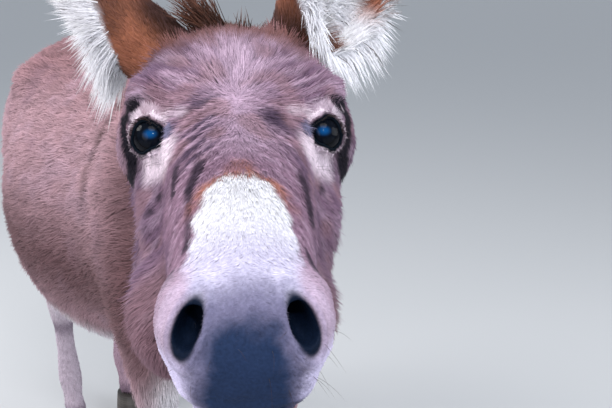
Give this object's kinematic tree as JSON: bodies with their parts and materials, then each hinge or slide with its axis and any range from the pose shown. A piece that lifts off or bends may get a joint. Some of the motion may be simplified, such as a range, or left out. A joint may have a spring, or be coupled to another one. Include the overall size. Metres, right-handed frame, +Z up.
{
  "type": "donkey",
  "caption": "Life-size standing donkey with an outstretched neck, a turned head, long raised ears, a short upright mane and a tufted tail.",
  "frame": {"origin": "on the floor, under the middle of the animal's bounding box", "axes": "+Z up; the animal faces -Y along its length, and its left side is +X"},
  "size_m": [0.6222, 1.8646, 1.3997],
  "materials": {
    "coat_grey": "fluffy grey-brown hair",
    "coat_pale": "short off-white hair",
    "ear_brown": "rust-brown hair",
    "mane_dark": "coarse dark hair",
    "eye_dark": "wet and shiny",
    "hoof_horn": "dull horn"
  },
  "bodies": {
    "root": {"forelock": "mane_dark", "head": "coat_grey", "left_ear": "ear_brown", "left_eye": "eye_dark", "left_foreleg_hoof": "hoof_horn", "left_foreleg_lower": "coat_grey", "left_foreleg_upper": "coat_grey", "left_hindleg_hoof": "hoof_horn", "left_hindleg_lower": "coat_grey", "left_hindleg_upper": "coat_grey", "lower_jaw": "coat_pale", "mane": "mane_dark", "neck": "coat_grey", "right_ear": "ear_brown", "right_eye": "eye_dark", "right_foreleg_hoof": "hoof_horn", "right_foreleg_lower": "coat_grey", "right_foreleg_upper": "coat_grey", "right_hindleg_hoof": "hoof_horn", "right_hindleg_lower": "coat_grey", "right_hindleg_upper": "coat_grey", "tail": "coat_grey", "tail_switch": "mane_dark", "trunk": "coat_grey"}
  },
  "joints": []
}
